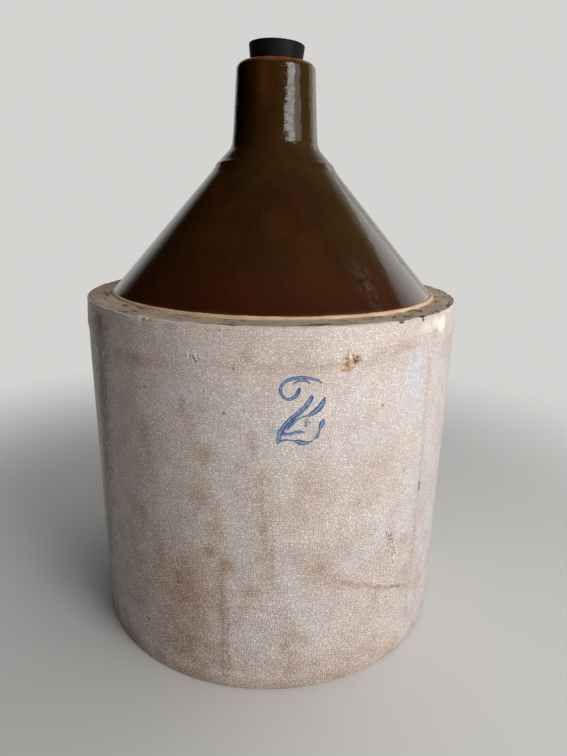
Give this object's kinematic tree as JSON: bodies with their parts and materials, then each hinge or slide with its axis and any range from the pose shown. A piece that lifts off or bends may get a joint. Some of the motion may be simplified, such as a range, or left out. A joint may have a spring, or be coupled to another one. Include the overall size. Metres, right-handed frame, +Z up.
{
  "type": "stoneware jug",
  "caption": "Stoneware shoulder jug with an upright body, a conical shoulder, a narrow neck, a strap handle and a tapered rubber stopper, for storing and pouring liquids.",
  "frame": {"origin": "centre of the foot, on the table", "axes": "+Z up along the jug's axis, the painted front faces -Y, the handle stands at +Y, +X to the right seen from the front"},
  "size_m": [0.231, 0.231, 0.3527],
  "materials": {
    "white_glaze": "crackled glossy white glaze, stained by age",
    "bare_slip": "bare fired slip",
    "brown_glaze": "glossy dark brown slip glaze",
    "black_rubber": "satin black rubber"
  },
  "bodies": {
    "jug": {"body_crock": "white_glaze", "slip_fillet": "bare_slip", "shoulder_cone": "brown_glaze", "neck_collar": "brown_glaze", "handle_strap": "brown_glaze"},
    "stopper": {"stopper": "black_rubber"}
  },
  "joints": [
    {"name": "stopper_pull", "type": "slide", "parent": "jug", "child": "stopper", "axis": [0, 0, 1], "range_m": [0, 0.05]}
  ]
}
